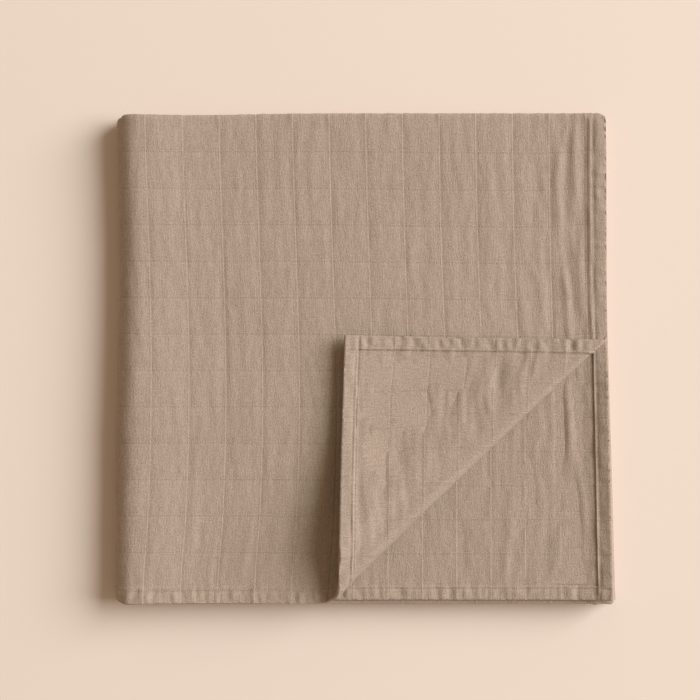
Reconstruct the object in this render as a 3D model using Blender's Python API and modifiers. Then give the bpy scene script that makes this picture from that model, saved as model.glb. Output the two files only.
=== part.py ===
"""A double-muslin swaddle blanket, folded to a square with one corner of its top layer turned back.

The cloth is one square. It is folded in half and in half again from bottom to top, which makes a
strip of four layers, and the strip is folded in half and in half again from right to left, which
makes a pile of sixteen. The lower right corner of the top layer is then rolled back over it.

Metres, +Z up. The pile lies on z = 0 with its hems at +X and -Y and its folds at -X and +Y."""

import math
from collections import namedtuple

import bmesh
import bpy
from mathutils import Vector

SHEET = 0.0010  # thickness of the cloth, two plies of muslin tacked together
LAYER = 0.0013  # height from one layer to the next in the strip of four
STRIP = 4 * LAYER  # height from one strip to the next in the pile
ACROSS_CUTS = (-0.133, -0.122, -0.108, -0.086, 0.0, 0.09)  # where every strip's flats are cut
UP_CUTS = (-0.075, 0.0, 0.075, 0.120)  # and every layer's
SMALL_BEND_STEPS = 6  # facets round a bend between neighbouring layers
LARGE_BEND_STEPS = 8  # facets round the bend that wraps the whole pile

# A folded section is a run of cloth at each level, joined by half-turns. A run begins where the
# one before it ended. Levels count pitches, from the strip's middle or from the pile's underside.
Run = namedtuple("Run", "end level")
BOTTOM_HEM = -0.1485
LAYERS = (
    Run(end=0.1470, level=1.5),  # the top layer, up to the fold that wraps the strip
    Run(end=-0.1487, level=-1.5),
    Run(end=0.1462, level=-0.5),
    Run(end=-0.1466, level=0.5),  # the second layer, down to the other hem
)
RIGHT_HEM = 0.1480
STRIPS = (
    Run(end=-0.1411, level=3.5),  # the top strip, out to the fold that wraps the pile
    Run(end=0.1452, level=0.5),
    Run(end=-0.1385, level=1.5),
    Run(end=0.1488, level=2.5),  # the second strip, back to the other hem
)

# The turned corner: its crease runs from the right hem to the bottom hem, and the cloth rolls
# round a bend that is tight at the right hem and loose at the bottom one.
CREASE_UP = 0.1596  # from the corner to the crease along the right hem
CREASE_ALONG = 0.1625  # from the corner to the crease along the bottom hem
TIGHT_BEND = LAYER / 2
LOOSE_BEND = 0.0080
LEAF_LIFT = 0.0015  # how far the layer below rises as it comes to the loose end of the bend
LEAF_RAMP = 0.032  # the length over which it rises
FLAP_RAMP = 24  # the length over which the flap comes down again, in radii of its bend
EDGE_LIFT = 0.0022  # how far the flap's free left edge stands up
EDGE_WIDTH = 0.022
CORNER_BLOCK = 0.232  # the square of the top layer that the crease and its ramps reach
BEND_ANGLES = [math.radians(a) for a in (-90, -60, -30, 0, 30, 60, 90)]
LEAF_LINES = (0.010, 0.021, 0.034)  # facet lines beside the bend, at its loose end
FLAP_LINES = (0.016, 0.036, 0.060, 0.086)
AT_TIGHT_END = 1 / 3  # how far apart the same lines are at its tight end

# How the pile departs from a neat one. A crest is where it is thickest, just inside a fold.
UNDERSIDE = 0.5 * STRIP - 1.5 * LAYER  # height of the lowest layer before the pile is set down
HALF_SIDE = 0.15
LEFT_CREST = -0.133
LEFT_SWELL = 0.15  # the share by which the pile is thicker at its left crest
LEFT_SPREAD = 0.028
LEFT_FALL = 0.30  # the share by which it is thinner again at the left fold
LEFT_SLOPE = 0.024  # the length over which it thins
TOP_CREST = 0.140
TOP_SWELL = 0.030
TOP_SPREAD = 0.030
WAVE = 0.010  # the share by which the thickness wanders
WAVE_TURN = 36  # how fast it wanders, in radians in a metre
LEFT_HOLLOW = 0.0024  # how far the left fold is drawn in, a third of the way down
HOLLOW_AT = 0.05
HOLLOW_SPREAD = 0.08
LOWER_BULGE = 0.0006  # how far the left fold stands out, low down
TOP_DIP = 0.0012  # how far the top fold is drawn in, near the left corner
DIP_AT = -0.11
DIP_SPREAD = 0.05
TOP_LEAN = 0.004  # slope of the top layer's right hem
LOW_LEAN = 0.0138  # slope of the lowest folds on the right, which reach further out


def smooth(t):
    """0 to 1 with level ends as t goes from 0 to 1."""
    t = min(max(t, 0.0), 1.0)
    return t * t * (3 - 2 * t)


def hump(x, middle, width):
    return math.exp(-(((x - middle) / width) ** 2))


def along_section(start, runs, pitch, s):
    """Where the cloth is, a length s from its hem: place, height, and its outward direction there."""
    here = start
    for run, after in zip(runs, runs[1:] + (None,)):
        heading = math.copysign(1, run.end - here)
        length = abs(run.end - here)
        if after is None or s <= length:
            return here + heading * s, run.level * pitch, 0.0, -heading
        s -= length
        radius = abs(after.level - run.level) * pitch / 2
        if s < math.pi * radius:
            angle = s / radius
            drop = math.copysign(1, run.level - after.level)
            place = run.end + heading * radius * math.sin(angle)
            height = (run.level + after.level) / 2 * pitch + drop * radius * math.cos(angle)
            return place, height, -drop * math.sin(angle), -heading * math.cos(angle)
        s -= math.pi * radius
        here = run.end


def facet_lines(start, runs, pitch, cuts):
    """The lengths from the hem at which the section is cut into facets, and its full length."""
    lines, here, s = [], start, 0.0
    for run, after in zip(runs, runs[1:] + (None,)):
        low, high = sorted((here, run.end))
        lines += [s + abs(place - here) for place in cuts if low < place < high]
        s += high - low
        if after is not None:
            turns = abs(after.level - run.level)
            steps = LARGE_BEND_STEPS if turns > 1 and pitch == STRIP else SMALL_BEND_STEPS
            bend = math.pi * turns * pitch / 2
            lines += [s + bend * i / steps for i in range(steps + 1)]
            s += bend
        here = run.end
    return lines, s


# Unit direction in the flat cloth, from the crease to the corner, and the corner's distance.
CORNER_REACH = 1 / math.hypot(1 / CREASE_ALONG, 1 / CREASE_UP)
TO_CORNER = Vector((-CORNER_REACH / CREASE_ALONG, -CORNER_REACH / CREASE_UP))


def bend_radius(share):
    """Radius of the rolled bend, at a share of the way from the right hem to the bottom one."""
    return TIGHT_BEND + (LOOSE_BEND - TIGHT_BEND) * min(max(share, 0.0), 1.0)


def roll_back(u, v):
    """How the turned corner moves a point of the top layer: along TO_CORNER, and up."""
    past = CORNER_REACH * (1 - u / CREASE_ALONG - v / CREASE_UP)
    share = (u - TO_CORNER.x * past) / CREASE_ALONG
    radius = bend_radius(share)
    quarter = math.pi * radius / 2
    loose = smooth(share)
    lift = LEAF_LIFT * loose
    if abs(past) < quarter:
        angle = past / radius
        shift = radius * math.cos(angle) - quarter - past
        return shift, lift + radius + radius * math.sin(angle)
    from_bend = abs(past) - quarter
    if past < 0:
        return 0.0, lift * (1 - smooth(from_bend / LEAF_RAMP))
    top = lift + 2 * radius
    height = LAYER + (top - LAYER) * (1 - smooth(from_bend / (FLAP_RAMP * radius)))
    height += EDGE_LIFT * math.exp(-v / EDGE_WIDTH) * smooth(from_bend / EDGE_WIDTH)
    return -2 * past, height


def thickness(x, y):
    """The pile's thickness as a share of a neat pile's."""
    left = LEFT_CREST - x
    if left < 0:
        share = LEFT_SWELL * hump(x, LEFT_CREST, LEFT_SPREAD)
    else:
        share = LEFT_SWELL - LEFT_FALL * smooth(left / LEFT_SLOPE)
    share += TOP_SWELL * hump(y, TOP_CREST, TOP_SPREAD)
    wave = math.sin(WAVE_TURN * (x + y / 2)) * math.cos(WAVE_TURN * (y - x / 4))
    return 1 + share + WAVE * (1 + wave)


def lie(x, y, z):
    """The uneven outline and thickness of the pile."""
    depth = 1 - smooth(z / (4 * STRIP))
    to_left = smooth(0.5 - x / (2 * HALF_SIDE))
    to_top = smooth(0.5 + y / (2 * HALF_SIDE))
    lean = TOP_LEAN + (LOW_LEAN - TOP_LEAN) * depth
    hollow = LEFT_HOLLOW * hump(y, HOLLOW_AT, HOLLOW_SPREAD) - LOWER_BULGE * (1 - to_top)
    dip = TOP_DIP * hump(x, DIP_AT, DIP_SPREAD)
    return Vector((
        x + hollow * to_left - lean * y * (1 - to_left),
        y - dip * to_top,
        UNDERSIDE + (z - UNDERSIDE) * thickness(x, y),
    ))


def folded(u, v):
    """Where a point of the flat cloth lies, u from the right hem and v from the bottom hem."""
    y, above, _, _ = along_section(BOTTOM_HEM, LAYERS, LAYER, v)
    x, height, out_x, out_z = along_section(RIGHT_HEM, STRIPS, STRIP, u)
    point = Vector((x + out_x * above, y, height + out_z * above))
    if u < CORNER_BLOCK and v < CORNER_BLOCK:
        shift, up = roll_back(u, v)
        point += Vector((-TO_CORNER.x * shift, TO_CORNER.y * shift, up))
    return lie(*point)


def cut(bm, faces, place, across):
    """Cuts faces along a line of the flat cloth."""
    geometry = set(faces)
    for face in faces:
        geometry.update(face.edges)
        geometry.update(face.verts)
    bmesh.ops.bisect_plane(
        bm, geom=list(geometry), dist=1e-7, plane_co=(*place, 0), plane_no=(*across, 0)
    )


def flat_cloth():
    """The square cloth lying flat, cut into facets where it will bend."""
    u_lines, width = facet_lines(RIGHT_HEM, STRIPS, STRIP, ACROSS_CUTS)
    v_lines, length = facet_lines(BOTTOM_HEM, LAYERS, LAYER, UP_CUTS)
    bm = bmesh.new()
    bmesh.ops.create_grid(bm, x_segments=1, y_segments=1, size=0.5)
    for vert in bm.verts:
        vert.co = Vector(((vert.co.x + 0.5) * width, (vert.co.y + 0.5) * length, 0))
    for u in [*u_lines, CORNER_BLOCK]:
        cut(bm, bm.faces[:], (u, 0), (1, 0))
    for v in [*v_lines, CORNER_BLOCK]:
        cut(bm, bm.faces[:], (0, v), (0, 1))
    turned_corner_lines(bm)
    return bm


def turned_corner_lines(bm):
    """Facet lines along the rolled bend, each straight from the right hem to the bottom hem."""
    tight, loose = Vector((0, CREASE_UP)), Vector((CREASE_ALONG, 0))
    quarter = math.pi / 2
    pairs = [(a * TIGHT_BEND, a * LOOSE_BEND) for a in BEND_ANGLES]
    tight_edge, loose_edge = quarter * TIGHT_BEND, quarter * LOOSE_BEND
    pairs += [(-tight_edge - d * AT_TIGHT_END, -loose_edge - d) for d in LEAF_LINES]
    pairs += [(tight_edge + d * AT_TIGHT_END, loose_edge + d) for d in FLAP_LINES]
    for at_tight, at_loose in pairs:
        start = tight + TO_CORNER * at_tight
        end = loose + TO_CORNER * at_loose
        run = end - start
        corner = [
            f for f in bm.faces
            if all(max(p.co.x, p.co.y) < CORNER_BLOCK + 1e-5 for p in f.verts)
        ]
        cut(bm, corner, start, (-run.y, run.x))


def blanket():
    bm = flat_cloth()
    bmesh.ops.triangulate(bm, faces=bm.faces[:])
    for vert in bm.verts:
        vert.co = folded(vert.co.x, vert.co.y)
    low = Vector([min(v.co[i] for v in bm.verts) for i in range(3)])
    high = Vector([max(v.co[i] for v in bm.verts) for i in range(3)])
    middle = (low + high) / 2
    bmesh.ops.translate(
        bm, verts=bm.verts[:], vec=(-middle.x, -middle.y, SHEET / 2 - low.z)
    )
    bmesh.ops.recalc_face_normals(bm, faces=bm.faces[:])
    mesh = bpy.data.meshes.new("blanket")
    bm.to_mesh(mesh)
    bm.free()
    mesh.shade_smooth()
    obj = bpy.data.objects.new("blanket", mesh)
    wall = obj.modifiers.new("thickness", "SOLIDIFY")
    wall.thickness = SHEET
    wall.offset = 0
    return obj


def muslin():
    """Washed cotton double muslin in taupe, matt and soft."""
    material = bpy.data.materials.new("taupe_muslin")
    material.use_nodes = True
    shader = material.node_tree.nodes["Principled BSDF"]
    shader.inputs["Base Color"].default_value = (0.42, 0.32, 0.24, 1)
    shader.inputs["Roughness"].default_value = 0.95
    shader.inputs["Metallic"].default_value = 0.0
    return material


def build():
    for old in list(bpy.data.objects):
        bpy.data.objects.remove(old)
    cloth = blanket()
    cloth.data.materials.append(muslin())
    collection = bpy.data.collections.new("swaddle_blanket")
    bpy.context.scene.collection.children.link(collection)
    collection.objects.link(cloth)


build()
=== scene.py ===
"""A folded double-muslin swaddle blanket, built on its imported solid.

The cloth is made flat, as the square that it was cut to, with its double-turned hems and tack
lines, and is then folded: into a strip of four layers, into a pile of sixteen, and last with the
lower right corner of its top layer rolled back. Lengths are metres unless a name says mm."""

import math
from collections import namedtuple

import bmesh
import bpy
import numpy as np
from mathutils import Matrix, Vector


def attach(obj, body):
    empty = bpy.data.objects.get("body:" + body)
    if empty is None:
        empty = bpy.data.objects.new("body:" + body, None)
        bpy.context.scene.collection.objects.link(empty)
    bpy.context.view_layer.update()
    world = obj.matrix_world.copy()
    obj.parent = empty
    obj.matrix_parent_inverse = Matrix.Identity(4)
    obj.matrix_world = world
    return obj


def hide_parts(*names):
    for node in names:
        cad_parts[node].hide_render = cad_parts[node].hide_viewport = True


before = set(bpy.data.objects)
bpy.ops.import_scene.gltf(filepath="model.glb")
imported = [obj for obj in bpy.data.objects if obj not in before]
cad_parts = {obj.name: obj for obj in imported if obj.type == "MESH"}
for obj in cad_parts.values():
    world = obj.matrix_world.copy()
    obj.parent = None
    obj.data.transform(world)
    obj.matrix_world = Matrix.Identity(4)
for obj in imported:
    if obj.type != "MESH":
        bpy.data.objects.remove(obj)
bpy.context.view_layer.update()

MM = 0.001

# The folds, as in the solid, but for a fuller bend at the turned corner, whose edge stands up a few
# mm more. A run of cloth lies at each level, and half-turns join the runs.
LAYER = 1.3 * MM  # height from one layer to the next in the strip of four
STRIP = 4 * LAYER  # height from one strip to the next in the pile
Run = namedtuple("Run", "end level")
BOTTOM_HEM = -0.1485
LAYERS = (
    Run(end=0.1470, level=1.5),
    Run(end=-0.1487, level=-1.5),
    Run(end=0.1462, level=-0.5),
    Run(end=-0.1466, level=0.5),
)
RIGHT_HEM = 0.1480
STRIPS = (
    Run(end=-0.1411, level=3.5),
    Run(end=0.1452, level=0.5),
    Run(end=-0.1385, level=1.5),
    Run(end=0.1488, level=2.5),
)
CREASE_UP = 0.1596
CREASE_ALONG = 0.1625
TIGHT_BEND = 1.5 * MM
LOOSE_BEND = 0.0080
LEAF_LIFT = 0.0015
LEAF_RAMP = 0.032
BEND_SWELL = 0.6  # how much fuller the rolled bend is halfway along than an even cone
FLAP_RAMP = 12  # in radii of the rolled bend
EDGE_LIFT = 0.0078
EDGE_WIDTH = 0.027
EDGE_RAMP = 0.015
CORNER_BLOCK = 0.232
# The pile's uneven form. The left crest is a swell over the wrapped folds, which falls away to its
# left; the hollow, bulge and dip bend the outline; the leans and the splay shift its right side.
HALF_SIDE = 0.15
LEFT_CREST, LEFT_SWELL, LEFT_SPREAD = -0.136, 0.18, 0.027
LEFT_FALL, LEFT_SLOPE = 0.30, 0.024
TOP_CREST, TOP_SWELL, TOP_SPREAD = 0.140, 0.030, 0.030
WAVE, WAVE_TURN = 0.010, 36
LEFT_HOLLOW, HOLLOW_AT, HOLLOW_SPREAD = 0.0024, 0.05, 0.08
LOWER_BULGE = 0.0006
TOP_DIP, DIP_AT, DIP_SPREAD = 0.0012, -0.11, 0.05
TOP_LEAN, LOW_LEAN = 0.004, 0.0138
CORNER_SPLAY, LOWER_SPLAY = 0.0030, 0.0014
SOFT_CORNER = 0.85  # 1 would make each corner an arc
CORNERS = (  # where the corners start to round
    (0.1425, 0.1435), (-0.1440, 0.1435), (-0.1440, -0.1430),
)
CORNER_REACH = 1 / math.hypot(1 / CREASE_ALONG, 1 / CREASE_UP)
TO_CORNER = Vector((-CORNER_REACH / CREASE_ALONG, -CORNER_REACH / CREASE_UP))

# The cloth: two plies of gauze, tacked together in squares, with a hem turned twice to the back.
FRONT_HALF = 0.34 * MM  # from the middle of the cloth to its face
BACK_HALF = 0.34 * MM
HEM = 8.3 * MM  # width of the hem, to its inner fold
HEM_STEP = 0.26 * MM  # how far the turned cloth stands off the back, where layers press on it
FREE_STEP = 0.85 * MM  # and where nothing lies on it
STITCH_LINE = 6.8 * MM  # from the edge to the hem's stitches
HEM_LINES = [e * MM for e in (1.0, 2.4, 4.0, 5.3, 6.3, 6.8, 7.3, 7.8, 8.1, 8.5, 9.0, 9.8, 10.8)]
Grid = namedtuple("Grid", "first_u pitch_u first_v pitch_v")
FACE_GRID = Grid(12.1 * MM, 22.4 * MM, 9.0 * MM, 22.2 * MM)  # tack lines on the front
FLAP_GRID = Grid(7.4 * MM, 20.75 * MM, 9.7 * MM, 20.85 * MM)  # and on the turned corner
UNDER_GRID = Grid(8.0 * MM, 20.8 * MM, 7.1 * MM, 20.8 * MM)  # and on the second layer
TACKS_IN_CELL = 17  # tacks of 1.3 mm in a cell, the holes of the thread
Stitch = namedtuple("Stitch", "pitch length width height")
STITCH = Stitch(1.4 * MM, 1.05 * MM, 0.42 * MM, 0.34 * MM)
ICO_POINTS = 12  # points of the solid that each stitch starts as
BACK_COLOUR_SCALE = 0.96  # the back of the cloth is drawn 4% darker than the front
FINE_STEP = 1.3 * MM  # facets where the cloth shows
BEND_MARGIN = 0.018  # fine facets go on this far past the crease
COVER_MARGIN = 0.030  # and this far in under the turned corner's edges
BEND_STEPS = 7  # facets round a bend between neighbouring layers
WRAP_STEPS = 12  # facets round the bend that wraps the whole pile
HIDDEN_STEP = 0.062  # facets inside the pile


def smooth(t):
    """0 to 1 with level ends as t goes from 0 to 1."""
    t = np.clip(t, 0.0, 1.0)
    return t * t * (3 - 2 * t)


def hump(x, middle, width):
    return np.exp(-(((x - middle) / width) ** 2))


def ripple(a, b, seed):
    """Smooth noise from about -1 to 1 that turns about once in each unit of a and b."""
    angles = np.random.default_rng(seed).uniform(0, 2 * math.pi, (256, 256))
    i, j = np.floor(a).astype(int), np.floor(b).astype(int)
    fa, fb = a - i, b - j
    total = np.zeros_like(fa)
    for di in (0, 1):
        for dj in (0, 1):
            angle = angles[(i + di) & 255, (j + dj) & 255]
            slope = np.cos(angle) * (fa - di) + np.sin(angle) * (fb - dj)
            total += slope * smooth(1 - np.abs(fa - di)) * smooth(1 - np.abs(fb - dj))
    return 1.6 * total


# ---------------------------------------------------------------- the folds


def along_section(start, runs, pitch, s):
    """Where cloth a length s from its hem lies: place, height, and its outward direction."""
    place, height = np.zeros_like(s), np.zeros_like(s)
    out_along, out_up = np.zeros_like(s), np.zeros_like(s)
    here, begin = start, -1.0
    passed = 0.0
    for run, after in zip(runs, runs[1:] + (None,)):
        heading = math.copysign(1, run.end - here)
        on = s >= begin
        place[on] = here + heading * (s[on] - passed)
        height[on], out_along[on], out_up[on] = run.level * pitch, 0.0, -heading
        passed += abs(run.end - here)
        if after is None:
            return place, height, out_along, out_up
        radius = abs(after.level - run.level) * pitch / 2
        drop = math.copysign(1, run.level - after.level)
        on = s >= passed
        angle = (s[on] - passed) / radius
        place[on] = run.end + heading * radius * np.sin(angle)
        height[on] = (run.level + after.level) / 2 * pitch + drop * radius * np.cos(angle)
        out_along[on], out_up[on] = -drop * np.sin(angle), -heading * np.cos(angle)
        passed += math.pi * radius
        begin, here = passed, run.end


def section_lines(start, runs, pitch):
    """Where a section bends, as lengths from the hem, with its full length."""
    marks, here, s = [], start, 0.0
    for run, after in zip(runs, runs[1:] + (None,)):
        s += abs(run.end - here)
        if after is None:
            return marks, s
        turns = abs(after.level - run.level)
        bend = math.pi * turns * pitch / 2
        marks.append((s, s + bend, WRAP_STEPS if turns > 1 and pitch == STRIP else BEND_STEPS))
        s += bend
        here = run.end


U_BENDS, WIDTH = section_lines(RIGHT_HEM, STRIPS, STRIP)
V_BENDS, LENGTH = section_lines(BOTTOM_HEM, LAYERS, LAYER)


def past_crease(u, v):
    """Distance past the crease towards the corner, in the flat cloth, and the bend's radius."""
    past = CORNER_REACH * (1 - u / CREASE_ALONG - v / CREASE_UP)
    share = np.clip((u - TO_CORNER.x * past) / CREASE_ALONG, 0.0, 1.0)
    full = share + BEND_SWELL * share * (1 - share)
    return past, TIGHT_BEND + (LOOSE_BEND - TIGHT_BEND) * full, share


def roll_back(u, v):
    """How the turned corner moves a point of the top layer: along TO_CORNER, and up."""
    past, radius, share = past_crease(u, v)
    quarter = math.pi * radius / 2
    loose = smooth(share)
    lift = LEAF_LIFT * loose
    angle = np.clip(past / radius, -math.pi / 2, math.pi / 2)
    from_bend = np.abs(past) - quarter
    rolled = radius * np.cos(angle) - quarter - past
    roll_height = lift + radius + radius * np.sin(angle)
    leaf_height = lift * (1 - smooth(from_bend / LEAF_RAMP))
    top = lift + 2 * radius
    flap_height = LAYER + (top - LAYER) * (1 - smooth(from_bend / (FLAP_RAMP * radius)))
    flap_height += EDGE_LIFT * np.exp(-v / EDGE_WIDTH) * smooth(from_bend / EDGE_RAMP)
    on_bend = from_bend < 0
    shift = np.where(on_bend, rolled, np.where(past < 0, 0.0, -2 * past))
    up = np.where(on_bend, roll_height, np.where(past < 0, leaf_height, flap_height))
    block = (u < CORNER_BLOCK) & (v < CORNER_BLOCK)
    return np.where(block, shift, 0.0), np.where(block, up, 0.0)


def thickness(x, y):
    """The pile's thickness as a share of a neat pile's, its left crest 3 mm further out than the
    solid's."""
    left = LEFT_CREST - x
    crest = LEFT_SWELL * hump(x, LEFT_CREST, LEFT_SPREAD)
    share = np.where(left < 0, crest, LEFT_SWELL - LEFT_FALL * smooth(left / LEFT_SLOPE))
    share += TOP_SWELL * hump(y, TOP_CREST, TOP_SPREAD)
    waves = np.sin(WAVE_TURN * (x + y / 2)) * np.cos(WAVE_TURN * (y - x / 4))
    return 1 + share + WAVE * (1 + waves)


def round_corner(x, y, middle_x, middle_y):
    """Rounds a corner of the pile, outward from a point a little inside it."""
    across = (x - middle_x) * math.copysign(1, middle_x)
    up = (y - middle_y) * math.copysign(1, middle_y)
    outside = (across > 0) & (up > 0)
    reach = np.hypot(across, up) + 1e-9
    share = np.where(outside, 1 - SOFT_CORNER * (1 - np.maximum(across, up) / reach), 1.0)
    return middle_x + (x - middle_x) * share, middle_y + (y - middle_y) * share


def lie(x, y, z):
    """The solid's uneven outline, with its corners rounded and its lower right side spread."""
    floor = STRIPS[1].level * STRIP + LAYERS[1].level * LAYER
    for corner in CORNERS:
        x, y = round_corner(x, y, *corner)
    depth = 1 - smooth(z / (4 * STRIP))
    to_left = smooth(0.5 - x / (2 * HALF_SIDE))
    to_top = smooth(0.5 + y / (2 * HALF_SIDE))
    lean = TOP_LEAN + (LOW_LEAN - TOP_LEAN) * depth
    splay = CORNER_SPLAY * np.clip((0.03 - y) / 0.17, 0, 1) * smooth((x - 0.105) / 0.04)
    splay += LOWER_SPLAY * depth * smooth((x - 0.12) / 0.03)
    hollow = LEFT_HOLLOW * hump(y, HOLLOW_AT, HOLLOW_SPREAD) - LOWER_BULGE * (1 - to_top)
    dip = TOP_DIP * hump(x, DIP_AT, DIP_SPREAD)
    return (
        x + hollow * to_left - lean * y * (1 - to_left) + splay,
        y - dip * to_top,
        floor + (z - floor) * thickness(x, y),
    )


def curl(u, v):
    """How far the right hems of the top strip stand up, more where the corner is turned off them."""
    past, _, _ = past_crease(u, v)
    folded_back = smooth((past + 4 * MM) / (8 * MM)) * (v < CORNER_BLOCK)
    under = smooth((past_crease(u, LENGTH - v)[0] + 6 * MM) / (30 * MM)) * (v > LENGTH / 2)
    rise = 1.9 * MM * (1 - smooth(u / (26 * MM))) * (1 - under)
    rise += 4.4 * MM * under * np.clip(1 - u / (20 * MM), 0, 1) ** 1.5
    return rise * (1 - folded_back)


def drift(u, v):
    """How the loose weave of the top layer wanders inside its outline."""
    inside = smooth(u / 0.06) * smooth((0.305 - u) / 0.03)
    bow = 4.3 * MM * hump(v, 0.105, 0.09) * smooth(v / 0.05) * inside
    tilt = 2.4 * MM * smooth((0.285 - u) / 0.27) * smooth(v / 0.03) * smooth((0.298 - v) / 0.03)
    tilt *= smooth(u / 0.040)
    return u - bow, v - tilt


def middle(u, v):
    """Where the middle of the cloth lies, as n by 3."""
    u, v = drift(u, v)
    y, above, _, _ = along_section(BOTTOM_HEM, LAYERS, LAYER, v)
    x, height, out_x, out_up = along_section(RIGHT_HEM, STRIPS, STRIP, u)
    x, z = x + out_x * above, height + out_up * above + curl(u, v)
    shift, up = roll_back(u, v)
    x, y, z = lie(x - TO_CORNER.x * shift, y + TO_CORNER.y * shift, z + up)
    return np.stack([x, y, z], axis=1)


def facing(u, v):
    """Unit normals of the cloth's front."""
    h = 0.05 * MM
    along = middle(u + h, v) - middle(u - h, v)
    up = middle(u, v + h) - middle(u, v - h)
    normal = np.cross(up, along)
    return normal / np.linalg.norm(normal, axis=1)[:, None]


# ---------------------------------------------------------------- the surface


def to_line(s, first, pitch):
    """Distance to the nearest tack line, and the place across its cell from 0 to 1."""
    cell = (s - first) / pitch
    return np.abs(cell - np.round(cell)) * pitch, cell - np.floor(cell)


def grid_of(u, v, back):
    """The tack grid at each point, as first and pitch for u and v, with v from its nearer hem."""
    near_v = np.where(v < LENGTH / 2, v, LENGTH - v)
    flap = back & (v < LENGTH / 2)
    under = back & ~flap

    def pick(field):
        front_value, flap_value, under_value = (
            getattr(g, field) for g in (FACE_GRID, FLAP_GRID, UNDER_GRID)
        )
        return np.where(flap, flap_value, np.where(under, under_value, front_value))

    return near_v, pick("first_u"), pick("pitch_u"), pick("first_v"), pick("pitch_v")


def tacking(u, v, back):
    """Height of a face above its rest because of the tack lines: grooves between soft pillows."""
    near_v, first_u, pitch_u, first_v, pitch_v = grid_of(u, v, back)
    du, _ = to_line(u, first_u, pitch_u)
    dv, _ = to_line(near_v, first_v, pitch_v)
    flat_at_fold = smooth((V_BENDS[0][0] - v) / (9 * MM)) * (v < LENGTH / 2) + (v > LENGTH / 2)
    deep = np.where(back, 0.5, 1.0) * off_roll(u, v) * flat_at_fold
    return MM * deep * (
        0.48 * (1 - np.exp(-du / (1.6 * MM)))
        + 0.28 * (1 - np.exp(-dv / (1.4 * MM)))
        - 0.60
    )


# Creases placed one by one, each a soft ridge (or, if its height is negative, a trough) that runs up
# the cloth: middle and width across it, both ends along it, how far its far end leans, and height.
# On the top layer and the second one they run up from the bottom hem, and across is from the right
# hem. On the turned corner they run in from its top hem, and across is from its left hem.
Crease = namedtuple("Crease", "across width near far lean height")
TOP_CREASES = (
    Crease(24.5, 3.3, 150, 215, 5.0, 1.00),
    Crease(29.0, 3.0, 215, 296, 1.5, 0.75),
    Crease(15.5, 3.1, 158, 228, 4.0, 0.80),
    Crease(19.0, 2.9, 226, 300, -1.0, 0.85),
    Crease(40.0, 3.4, 160, 205, 3.0, 0.45),
    Crease(44.0, 3.2, 222, 285, 2.0, -0.35),
    Crease(51.5, 3.0, 148, 196, 3.0, 0.40),
    Crease(62.0, 3.4, 168, 232, -2.0, -0.40),
    Crease(71.0, 3.2, 226, 270, 2.0, 0.35),
    Crease(86.0, 3.6, 160, 214, 2.0, -0.35),
    Crease(113.0, 3.8, 190, 252, 3.0, -0.30),
    Crease(140.0, 3.6, 140, 190, -3.0, -0.30),
    Crease(172.0, 4.0, 40, 110, 4.0, 0.40),
    Crease(196.0, 4.0, 8, 70, -5.0, -0.40),
    Crease(221.0, 4.2, 6, 60, -7.0, 0.45),
    Crease(236.0, 4.4, 120, 215, 4.0, -0.35),
    Crease(250.0, 4.0, 4, 56, -8.0, -0.40),
)
UNDER_CREASES = (
    Crease(15.8, 2.8, 4, 90, 2.0, 0.60),
    Crease(22.5, 3.2, 66, 142, 3.0, 0.85),
    Crease(28.5, 2.6, 84, 132, 3.0, -0.50),
    Crease(31.0, 3.4, 10, 48, -2.0, 0.40),
    Crease(45.0, 3.0, 42, 96, 2.0, -0.40),
    Crease(60.0, 3.2, 8, 60, -2.0, 0.35),
    Crease(88.0, 3.2, 8, 50, 2.0, -0.40),
)
FLAP_CREASES = (
    Crease(97.0, 3.0, 8, 58, 5.0, -0.90),
    Crease(108.0, 3.0, 10, 40, 3.0, 0.55),
    Crease(86.0, 2.6, 8, 46, -2.0, 0.50),
    Crease(83.0, 4.0, 38, 74, 3.0, -0.60),
    Crease(69.0, 2.8, 8, 52, 2.0, -0.45),
    Crease(58.0, 3.0, 16, 70, 3.0, 0.40),
    Crease(42.0, 3.4, 84, 122, 2.0, -0.55),
    Crease(45.0, 2.8, 18, 60, 4.0, -0.45),
    Crease(26.0, 3.4, 70, 128, 1.0, -0.50),
    Crease(31.0, 3.0, 14, 62, -2.0, 0.40),
    Crease(17.0, 2.6, 24, 60, 2.0, 0.35),
)


def creases(table, across, along):
    lift = np.zeros_like(across)
    for c in table:
        share = (along / MM - c.near) / (c.far - c.near)
        size = smooth(share * 3.2) * smooth((1 - share) * 3.2)
        lift += c.height * MM * size * hump(across / MM, c.across + c.lean * (share - 0.5), c.width)
    return lift


def washed(across, along, seed):
    """Crinkles of washed gauze, which run along the cloth: fine ones and wide ones, up to about 1."""
    sway = 2.2 * MM * ripple(along / (34 * MM), across / (40 * MM), seed)
    fine = ripple((across + sway) / (2.6 * MM), along / (13 * MM), seed + 1)
    wide = ripple((across + 1.6 * sway) / (4.9 * MM), along / (30 * MM), seed + 2)
    return 0.42 * fine + 0.85 * wide


def off_roll(u, v):
    """0 on the rolled bend, which is pulled smooth, and 1 away from it."""
    past, _, _ = past_crease(u, v)
    near = 1 - smooth((np.abs(past) - 3 * MM) / (13 * MM))
    return 1 - 0.9 * near * (u < CORNER_BLOCK) * (v < CORNER_BLOCK)


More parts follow.
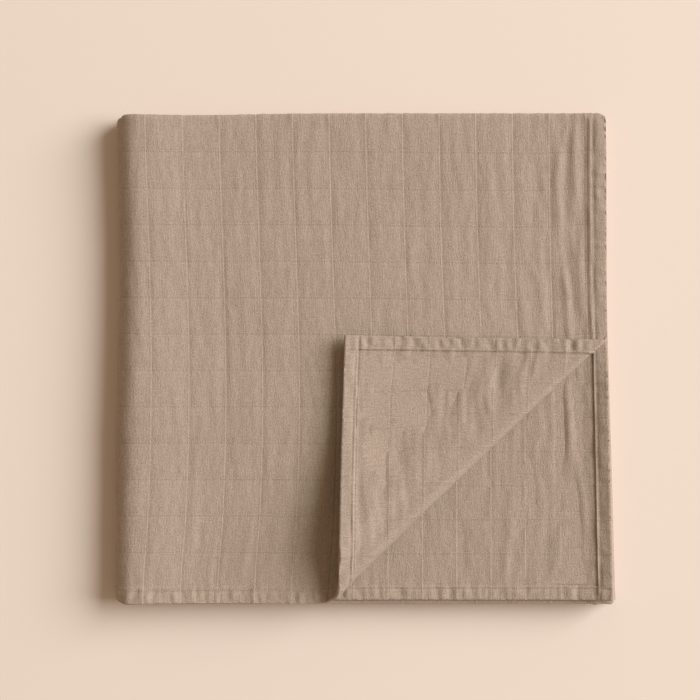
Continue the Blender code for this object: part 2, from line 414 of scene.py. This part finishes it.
def crinkle(u, v):
    """Height of the cloth's middle above its rest: its crinkles, where they show."""
    past, _, _ = past_crease(u, v)
    turned = smooth((past + 3 * MM) / (9 * MM)) * (v < CORNER_BLOCK) * (u < CORNER_BLOCK)
    near_hem = np.exp(-u / (30 * MM))
    top = MM * (0.26 + 0.44 * near_hem) * washed(u, v, 3) + 0.95 * creases(TOP_CREASES, u, v)
    flap = MM * (0.52 + 0.40 * near_hem) * washed(v, u, 13) - 1.05 * creases(FLAP_CREASES, v, u)
    up = LENGTH - v
    under = MM * (0.28 + 0.34 * near_hem) * washed(u, v, 23) - 1.3 * creases(UNDER_CREASES, u, up)
    return np.where(v > LENGTH / 2, under, top * (1 - turned) + flap * turned)


def hem_puckers(s, e, seed):
    """Puckers across a hem, s along it and e in from its edge, fanning into the cloth."""
    spread = s + 0.10 * e * ripple(s / (30 * MM), s * 0, seed + 2)
    wave = ripple(spread / (3.6 * MM), e / (18 * MM), seed)
    wave += 0.6 * ripple(spread / (2.1 * MM), e / (9 * MM), seed + 1)
    strength = 0.70 * hump(e, 4.0 * MM, 3.6 * MM) + 0.28 * np.exp(-e / (13 * MM))
    return MM * strength * wave


def gathers(s, e):
    """Dimples that the stitches draw into a hem, one every 7 mm or so along it."""
    turn = s / (7.2 * MM) + 0.5 * ripple(s / (15 * MM), s * 0, 51)
    dimple = np.clip(np.cos(2 * math.pi * turn), 0, 1) ** 2
    return 1.0 * MM * dimple * hump(e, 3.6 * MM, 2.2 * MM)


def wander(u, v):
    """Distance in from the right hem, which is turned a little wider towards the top."""
    return u * (1 - 0.13 * smooth((v - 0.16) / 0.03) * (v < V_BENDS[0][0]) * (u < 0.02))


def over_hem(e):
    """How the front rises over the cloth turned under it, with the stitches' furrow."""
    rise = 0.80 * MM * (1 - smooth((e - 8.3 * MM) / (2.2 * MM)))
    return rise - 0.42 * MM * hump(e, STITCH_LINE, 0.95 * MM)


def rest_of_middle(u, v):
    """All that lifts the middle of the cloth off its smooth folds."""
    eu, ev = np.minimum(u, WIDTH - u), np.minimum(v, LENGTH - v)
    calm = 0.35 + 0.65 * smooth(eu / HEM) * smooth(ev / HEM)
    lift = crinkle(u, v) * calm * off_roll(u, v)
    near_tip = smooth(np.abs(v - CREASE_UP) / (24 * MM))  # the cloth is pulled smooth at the tip
    right_hem = np.where(v > 0.16, 0.55, 1.0) * near_tip
    lift += hem_puckers(v, eu, 21) * smooth(ev / (4 * MM)) * right_hem
    turned_hem = free_back(u, v) * smooth((v - HEM) / (3 * MM)) * (v < CORNER_BLOCK)
    lift += gathers(v, u) * turned_hem * near_tip
    smooth_hem = 1 - 0.75 * free_back(u, v) * (v < CORNER_BLOCK)  # the turned corner's left hem
    lift += hem_puckers(u, ev, 31) * smooth(eu / (4 * MM)) * smooth_hem
    front = (1 - free_back(u, v)) * (v < V_BENDS[0][0]) * (u < U_BENDS[0][1])
    lift += front * np.maximum(over_hem(wander(u, v)), 0.55 * over_hem(v))
    return lift


def free_back(u, v):
    """1 where the back lies open: on the turned corner and the second layer under it."""
    past, _, _ = past_crease(u, v)
    flap = smooth((past + 4 * MM) / (6 * MM)) * (v < CORNER_BLOCK) * (u < CORNER_BLOCK)
    under_past, _, _ = past_crease(u, LENGTH - v)
    under = smooth((under_past + 4 * MM) / (6 * MM)) * (u < CORNER_BLOCK) * (v > LENGTH / 2)
    return np.maximum(flap, under)


def hem_profile(e, step):
    """How far the back stands off at a distance e from the edge."""
    turned = step * (1 - smooth((e - HEM + 0.20 * MM) / (0.40 * MM)))
    ridge = 0.16 * step * hump(e, HEM - 0.8 * MM, 0.5 * MM)
    seam = 0.42 * step * hump(e, STITCH_LINE - 0.1 * MM, 0.50 * MM)
    tuck = 0.30 * step * hump(e, HEM + 0.6 * MM, 0.45 * MM)
    return turned + ridge - seam - tuck


def standing_off(u, v, back):
    """Distance from the cloth's middle to its front or its back."""
    eu, ev = np.minimum(u, WIDTH - u), np.minimum(v, LENGTH - v)
    free = free_back(u, v)
    step = HEM_STEP + (FREE_STEP - HEM_STEP) * free
    hem = np.maximum(hem_profile(eu, step), hem_profile(ev, step))
    inner = smooth((np.minimum(eu, ev) - HEM) / (1.0 * MM))
    seam = 0.10 * MM * np.maximum(hump(eu, STITCH_LINE, 0.5 * MM), hump(ev, STITCH_LINE, 0.5 * MM))
    face = tacking(u, v, back) * inner
    return np.where(back, BACK_HALF + hem, FRONT_HALF - seam) + face


def on_cloth(u, v, side, above=0.0):
    """Points of the cloth: side is 1 on the front, -1 on the back, and between them on the rim."""
    back = side < 0
    off = side * standing_off(u, v, back) + np.sign(side) * above + rest_of_middle(u, v)
    return middle(u, v) + facing(u, v) * off[:, None]


# ---------------------------------------------------------------- modelling


def select_none():
    bpy.ops.object.select_all(action="DESELECT")


def lines_across(bends, total, tack_lines, hem_to_hem):
    """Where the flat cloth is cut one way: hems, tack lines where it shows, bends and hidden runs."""
    lines = list(HEM_LINES) + [total - e for e in HEM_LINES] + list(tack_lines)
    stops = [hem_to_hem[0]]
    for begin, end, steps in bends:
        lines += list(np.linspace(begin, end, steps + 1))
        stops += [begin, end]
    stops.append(hem_to_hem[1])
    for begin, end in zip(stops[2::2], stops[3::2]):
        count = max(1, round((end - begin) / HIDDEN_STEP))
        lines += list(np.linspace(begin, end, count + 1)[1:-1])
    return sorted(lines)


def flat_square():
    """The closed flat cloth, 2 mm thick for now: its z says which face a point is on."""
    select_none()
    bpy.ops.mesh.primitive_grid_add(x_subdivisions=1, y_subdivisions=1, size=1)
    cloth = bpy.context.object
    cloth.name = cloth.data.name = "muslin_cloth"
    for vert in cloth.data.vertices:
        vert.co = ((vert.co.x + 0.5) * WIDTH, (vert.co.y + 0.5) * LENGTH, 0)
    wall = cloth.modifiers.new("plies", "SOLIDIFY")
    wall.thickness, wall.offset = 2 * MM, 0
    bpy.ops.object.modifier_apply(modifier=wall.name)
    return cloth


def cut(bm, faces, place, across):
    """Cuts faces along a line of the flat cloth."""
    geometry = set(faces)
    for face in faces:
        geometry.update(face.edges)
        geometry.update(face.verts)
    bmesh.ops.bisect_plane(
        bm, geom=list(geometry), dist=1e-7, plane_co=(*place, 0), plane_no=(*across, 0)
    )


def shows(u, v, back):
    """Whether a cell of the flat cloth is seen once it is folded."""
    if back:
        past, _, _ = past_crease(u, v)
        under_past, _, _ = past_crease(u, LENGTH - v)
        flap = past > -BEND_MARGIN and max(u, v) < CORNER_BLOCK
        under = under_past > -BEND_MARGIN and u < CORNER_BLOCK and v > LENGTH / 2
        return flap or under
    if u > U_BENDS[0][1] or v > V_BENDS[0][1]:
        return False
    past, _, _ = past_crease(u, v)
    if past > BEND_MARGIN + 2 * MM:
        return False  # the inside of the turned corner
    covered = -CORNER_REACH < past < -COVER_MARGIN
    mirror = (u - 2 * TO_CORNER.x * past, v - 2 * TO_CORNER.y * past)
    return not (covered and min(mirror) > COVER_MARGIN)


def refine(bm):
    """Cuts the cells that show into fine facets, one way and then the other."""
    for way in (0, 1):
        groups = {}
        for face in bm.faces:
            if abs(face.normal.z) < 0.5:
                continue
            centre = face.calc_center_median()
            if not shows(centre.x, centre.y, face.normal.z < 0):
                continue
            for edge in face.edges:
                a, b = edge.verts[0].co, edge.verts[1].co
                if abs(a[1 - way] - b[1 - way]) > 1e-6:
                    continue
                cuts = math.ceil(abs(a[way] - b[way]) / FINE_STEP - 0.25) - 1
                if cuts > 0:
                    groups.setdefault(cuts, set()).add(edge)
        for cuts, edges in sorted(groups.items()):
            bmesh.ops.subdivide_edges(bm, edges=[e for e in edges if e.is_valid], cuts=cuts)


def crease_lines(bm):
    """Cuts along the rolled bend, each line straight from the right hem to the bottom hem."""
    tight, loose = Vector((0, CREASE_UP)), Vector((CREASE_ALONG, 0))
    for angle in np.linspace(-math.pi / 2, math.pi / 2, 9):
        start = tight + TO_CORNER * angle * TIGHT_BEND
        end = loose + TO_CORNER * angle * LOOSE_BEND
        run = end - start
        side = Vector((-run.y, run.x)).normalized()
        near = []
        for face in bm.faces:
            centre = face.calc_center_median().xy
            if max(centre) < CORNER_BLOCK and abs((centre - start).dot(side)) < 3 * MM:
                near.append(face)
        cut(bm, near, start, side)


def cut_cloth(cloth):
    """All the facets of the flat cloth."""
    bm = bmesh.new()
    bm.from_mesh(cloth.data)
    first, pitch = FACE_GRID.first_u, FACE_GRID.pitch_u
    tack_u = [first + pitch * i for i in range(13)]
    first, pitch = FACE_GRID.first_v, FACE_GRID.pitch_v
    tack_v = [first + pitch * i for i in range(1, 13)]
    tack_v += [LENGTH - 22 * MM * i for i in range(1, 9)]
    for u in lines_across(U_BENDS, WIDTH, tack_u, (0, WIDTH)):
        cut(bm, bm.faces[:], (u, 0), (1, 0))
    for v in lines_across(V_BENDS, LENGTH, tack_v, (0, LENGTH)):
        cut(bm, bm.faces[:], (0, v), (0, 1))
    rim = [e for e in bm.edges if abs(e.verts[0].co.z - e.verts[1].co.z) > MM]
    bmesh.ops.subdivide_edges(bm, edges=rim, cuts=3)
    refine(bm)
    crease_lines(bm)
    many = [f for f in bm.faces if len(f.verts) > 4]
    bmesh.ops.triangulate(bm, faces=many)
    bm.to_mesh(cloth.data)
    bm.free()


def flat_coordinates(mesh):
    flat = np.zeros(len(mesh.vertices) * 3)
    mesh.vertices.foreach_get("co", flat)
    return flat.reshape(-1, 3)


def add_map(mesh, name, coordinates):
    """A UV map from two values for each vertex."""
    corners = np.zeros(len(mesh.loops), int)
    mesh.loops.foreach_get("vertex_index", corners)
    layer = mesh.uv_layers.new(name=name)
    layer.data.foreach_set("uv", coordinates[corners].ravel())


def fold(mesh, points):
    """Moves a mesh's vertices to their folded places."""
    mesh.vertices.foreach_set("co", points.ravel())
    mesh.update()


def blanket():
    cloth = flat_square()
    cut_cloth(cloth)
    mesh = cloth.data
    flat = flat_coordinates(mesh)
    u, v, side = flat[:, 0], flat[:, 1], np.clip(flat[:, 2] / MM, -1, 1)
    add_map(mesh, "cloth", flat[:, :2])
    back = side < 0
    near_v, first_u, pitch_u, first_v, pitch_v = grid_of(u, v, back)
    add_map(mesh, "ply", np.stack([np.where(back, BACK_COLOUR_SCALE, 1.0), u * 0], 1))
    add_map(mesh, "tacks", np.stack([(u - first_u) / pitch_u, (near_v - first_v) / pitch_v], 1))
    bulge = 0.35 * MM * np.sqrt(np.clip(1 - side**2, 0, 1))
    u = u + bulge * (np.where(u > WIDTH - 1e-6, 1.0, 0) - np.where(u < 1e-6, 1.0, 0))
    v = v + bulge * (np.where(v > LENGTH - 1e-6, 1.0, 0) - np.where(v < 1e-6, 1.0, 0))
    fold(mesh, on_cloth(u, v, side))
    mesh.shade_smooth()
    return cloth


def stitch_row(name, start, way, length, side):
    """A row of hem stitches, made flat from a place on the cloth and then laid on one face."""
    select_none()
    bpy.ops.mesh.primitive_ico_sphere_add(subdivisions=1, radius=0.5)
    row = bpy.context.object
    row.name = row.data.name = name
    size = (STITCH.length, STITCH.width) if way == 0 else (STITCH.width, STITCH.length)
    row.scale = (*size, STITCH.height)
    bpy.ops.object.transform_apply(location=False, rotation=False, scale=True)
    repeat = row.modifiers.new("repeat", "ARRAY")
    repeat.count = round(length / STITCH.pitch)
    repeat.use_relative_offset, repeat.use_constant_offset = False, True
    repeat.constant_offset_displace = (STITCH.pitch, 0, 0) if way == 0 else (0, STITCH.pitch, 0)
    bpy.ops.object.modifier_apply(modifier=repeat.name)
    flat = flat_coordinates(row.data)
    uneven = np.random.default_rng(41).uniform(-0.12 * MM, 0.12 * MM, len(flat) // ICO_POINTS)
    flat[:, 1 - way] += np.repeat(uneven, ICO_POINTS)
    u, v = flat[:, 0] + start[0], flat[:, 1] + start[1]
    fold(row.data, on_cloth(u, v, np.full(len(u), float(side)), flat[:, 2]))
    return row


def hem_stitches():
    """The hems' stitches wherever they show."""
    seam, far_seam = STITCH_LINE, LENGTH - STITCH_LINE
    end = V_BENDS[0][0]
    rows = [
        stitch_row("front_bottom", (0.150, seam), 0, 0.150, 1),
        stitch_row("front_right", (seam * 1.15, 0.165), 1, end - 0.165, 1),
        stitch_row("corner_left", (seam, seam), 0, 0.150, -1),
        stitch_row("corner_top", (seam, seam), 1, 0.146, -1),
        stitch_row("second_bottom", (seam, far_seam), 0, 0.165, -1),
        stitch_row("second_right", (seam, LENGTH - 0.165), 1, 0.158, -1),
    ]
    select_none()
    for row in rows:
        row.select_set(True)
    bpy.context.view_layer.objects.active = rows[0]
    bpy.ops.object.join()
    stitches = bpy.context.object
    stitches.name = stitches.data.name = "hem_stitches"
    stitches.data.shade_smooth()
    return stitches


# ---------------------------------------------------------------- finishes


def linear(hex_code):
    """An sRGB hex colour as linear RGBA."""
    channels = [int(hex_code[i : i + 2], 16) / 255 for i in (1, 3, 5)]
    return (*[c / 12.92 if c <= 0.04045 else ((c + 0.055) / 1.055) ** 2.4 for c in channels], 1.0)


def node(tree, kind, inputs=None, **settings):
    """Adds a node with its settings. Each input is a value, or the socket that links into it."""
    made = tree.nodes.new(kind)
    for name, value in settings.items():
        setattr(made, name, value)
    for place, value in (inputs or {}).items():
        if isinstance(value, bpy.types.NodeSocket):
            tree.links.new(value, made.inputs[place])
        else:
            made.inputs[place].default_value = value
    return made


def plain_material(name, colour, roughness):
    material = bpy.data.materials.new(name)
    material.use_nodes = True
    shader = material.node_tree.nodes["Principled BSDF"]
    shader.inputs["Base Color"].default_value = linear(colour)
    shader.inputs["Roughness"].default_value = roughness
    return material, shader


# Noise on the flat cloth: the size of its spots both ways in mm, its detail, and its strength.
Grain = namedtuple("Grain", "across along detail share")
WARP = Grain(0.9, 6.0, 1, 0.40)
WEFT = Grain(5.0, 0.9, 1, 0.18)
FUZZ = Grain(0.80, 1.0, 2, 0.80)
MOTTLE = Grain(24, 40, 1, 0.10)
# A furrow along the tacks: how far its two walls reach, in cells, and how strongly its bottom is
# painted darker, with dotted holes of the thread and painted shade in the furrow.
Furrow = namedtuple("Furrow", "across along far near depth holes")
FURROWS = (Furrow("X", "Y", 0.105, 0.030, 0.62, 0.30), Furrow("Y", "X", 0.042, 0.042, 0.32, 1.2))
HOLE_SHADE = 0.42  # how much darker the colour is painted at a furrow's bottom: the thread's holes, and painted shade in the furrow
CLOTH_COLOUR = "#af957e"


def double_muslin():
    """Washed cotton double muslin: matt and soft, with a grain of uneven threads and loose fuzz.

    Real threads are about 0.4 mm apart, too fine to show, so the grain is about twice as coarse."""
    material, shader = plain_material("double_muslin", CLOTH_COLOUR, 0.95)
    shader.inputs["Sheen Weight"].default_value = 0.06
    shader.inputs["Sheen Roughness"].default_value = 0.6
    tree = material.node_tree
    math_node = "ShaderNodeMath"

    def grained(total, grains):
        """Adds each of these grains, centred on 0, to a total."""
        for grain in grains:
            scale = (1000 / grain.across, 1000 / grain.along, 1)
            spots = node(tree, "ShaderNodeMapping", {"Vector": flat.outputs[0], "Scale": scale})
            pattern = {"Vector": spots.outputs[0], "Scale": 1.0, "Roughness": 0.55}
            noise = node(tree, "ShaderNodeTexNoise", {**pattern, "Detail": grain.detail})
            centred = node(tree, math_node, {0: noise.outputs["Fac"], 1: 0.5}, operation="SUBTRACT")
            sum_of = {0: centred.outputs[0], 1: grain.share, 2: total}
            total = node(tree, math_node, sum_of, operation="MULTIPLY_ADD").outputs[0]
        return total

    flat = node(tree, "ShaderNodeUVMap", uv_map="cloth")
    threads = grained(0.0, (WARP, WEFT, FUZZ))

    cells = node(tree, "ShaderNodeUVMap", uv_map="tacks")
    place = node(tree, "ShaderNodeSeparateXYZ", {0: cells.outputs[0]})
    furrows, holes = 0.0, 0.0
    for way in FURROWS:
        wrap = {0: place.outputs[way.across], 1: 0.5, 2: -0.5}
        offset = node(tree, math_node, wrap, operation="WRAP").outputs[0]
        far = {0: offset, 1: -1 / way.far, 2: 1.0}
        far_wall = node(tree, math_node, far, operation="MULTIPLY_ADD")
        near = {0: offset, 1: 1 / way.near, 2: 1.0}
        near_wall = node(tree, math_node, near, operation="MULTIPLY_ADD")
        walls = {0: far_wall.outputs[0], 1: near_wall.outputs[0]}
        furrow = node(tree, math_node, walls, operation="MINIMUM", use_clamp=True).outputs[0]
        deeper = {0: furrow, 1: way.depth, 2: furrows}
        furrows = node(tree, math_node, deeper, operation="MULTIPLY_ADD").outputs[0]
        # The furrow's bottom, where the thread's holes and the painted shade go.
        deep = {0: furrow, 1: 3.0, 2: -2.0}
        bottom = node(tree, math_node, deep, operation="MULTIPLY_ADD", use_clamp=True)
        turns = {0: place.outputs[way.along], 1: 2 * math.pi * TACKS_IN_CELL}
        turned = node(tree, math_node, turns, operation="MULTIPLY")
        wave = node(tree, math_node, {0: turned.outputs[0]}, operation="SINE")
        dots = {0: wave.outputs[0], 1: 0.7 * way.holes, 2: 0.25 * way.holes}
        dotted = node(tree, math_node, dots, operation="MULTIPLY_ADD")
        both = {0: bottom.outputs[0], 1: dotted.outputs[0], 2: holes}
        holes = node(tree, math_node, both, operation="MULTIPLY_ADD").outputs[0]
    shade = grained(threads, (MOTTLE,))
    # The back, on the turned corner and the second layer, is drawn a little darker than the front.
    plies = node(tree, "ShaderNodeUVMap", uv_map="ply")
    ply = node(tree, "ShaderNodeSeparateXYZ", {0: plies.outputs[0]})
    shade = node(tree, math_node, {0: shade, 1: ply.outputs["X"]}, operation="ADD").outputs[0]
    # Painted shade: the colour is darkened along the bottom of each tack furrow, in dots like the
    # thread's holes.
    darker = {0: holes, 1: -HOLE_SHADE, 2: shade}
    shade = node(tree, math_node, darker, operation="MULTIPLY_ADD").outputs[0]
    shade_inputs = {0: linear(CLOTH_COLOUR)[:3], "Scale": shade}
    shaded_colour = node(tree, "ShaderNodeVectorMath", shade_inputs, operation="SCALE")
    tree.links.new(shaded_colour.outputs[0], shader.inputs["Base Color"])
    lower = {0: furrows, 1: -1.0, 2: threads}
    height = node(tree, math_node, lower, operation="MULTIPLY_ADD").outputs[0]
    relief = {"Height": height, "Strength": 0.8, "Distance": 0.5 * MM}
    bump = node(tree, "ShaderNodeBump", relief)
    tree.links.new(bump.outputs[0], shader.inputs["Normal"])
    return material


def cotton_thread():
    """Matt spun cotton, a little paler than the cloth it is sewn through."""
    return plain_material("cotton_thread", "#b7a695", 0.9)[0]


# ---------------------------------------------------------------- the set


def floor():
    select_none()
    bpy.ops.mesh.primitive_plane_add(size=6)
    obj = bpy.context.object
    obj.name = "floor"
    material, _ = plain_material("matt_paper", "#efd6c0", 0.9)
    obj.data.materials.append(material)


def area_light(name, place, aim, size, power, colour):
    data = bpy.data.lights.new(name, "AREA")
    data.shape, data.size, data.energy, data.color = "DISK", size, power, colour
    lamp = bpy.data.objects.new(name, data)
    lamp.location = place
    lamp.rotation_euler = (Vector(aim) - Vector(place)).to_track_quat("-Z", "Y").to_euler()
    bpy.context.collection.objects.link(lamp)


def studio():
    area_light("key", (5.78, 1.90, 4.40), (0, 0, 0), 6.1, 940, (0.78, 0.88, 1.0))
    world = bpy.data.worlds.new("studio")
    world.use_nodes = True
    background = world.node_tree.nodes["Background"]
    background.inputs["Color"].default_value = (1.0, 0.84, 0.66, 1)
    background.inputs["Strength"].default_value = 0.322
    bpy.context.scene.world = world
    bpy.context.scene.view_settings.view_transform = "Standard"


def camera():
    distance, field, top = 1.10, 0.4255, 0.0208
    data = bpy.data.cameras.new("camera")
    data.sensor_width = 36
    data.lens = data.sensor_width * distance / field
    obj = bpy.data.objects.new("camera", data)
    obj.location = (-0.0076, 0.0052, top + distance)
    bpy.context.collection.objects.link(obj)
    bpy.context.scene.camera = obj


cloth = blanket()
cloth.data.materials.append(double_muslin())
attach(cloth, "root")
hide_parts("blanket")
stitches = hem_stitches()
stitches.data.materials.append(cotton_thread())
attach(stitches, "root")
floor()
studio()
camera()
